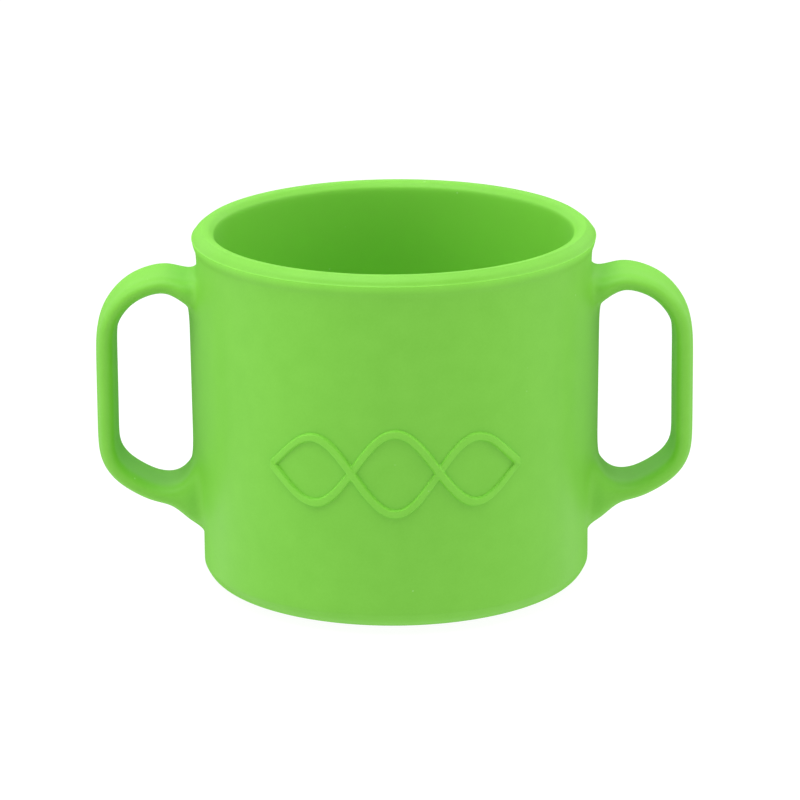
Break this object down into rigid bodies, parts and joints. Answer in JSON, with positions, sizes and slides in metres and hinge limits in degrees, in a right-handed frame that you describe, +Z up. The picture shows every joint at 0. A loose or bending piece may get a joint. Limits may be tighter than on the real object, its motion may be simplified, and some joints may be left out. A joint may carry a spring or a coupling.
{
  "type": "toddler training cup",
  "caption": "Low open training cup in soft silicone, with a thick sloping drinking rim, a rounded base and a flat oval loop handle on each side.",
  "frame": {"origin": "centre of the foot ring, on the surface the cup stands on", "axes": "+Z up through the mouth, +X towards the handle on the right as the front is seen, front with the raised pattern towards -Y"},
  "size_m": [0.1244, 0.084, 0.0765],
  "materials": {
    "silicone": "satin, very slightly grained moulded silicone in a bright leaf green"
  },
  "bodies": {
    "root": {"cup_floor": "silicone", "base_corner": "silicone", "cup_wall": "silicone", "drinking_rim": "silicone", "left_handle": "silicone", "right_handle": "silicone", "front_pattern": "silicone"}
  },
  "joints": []
}
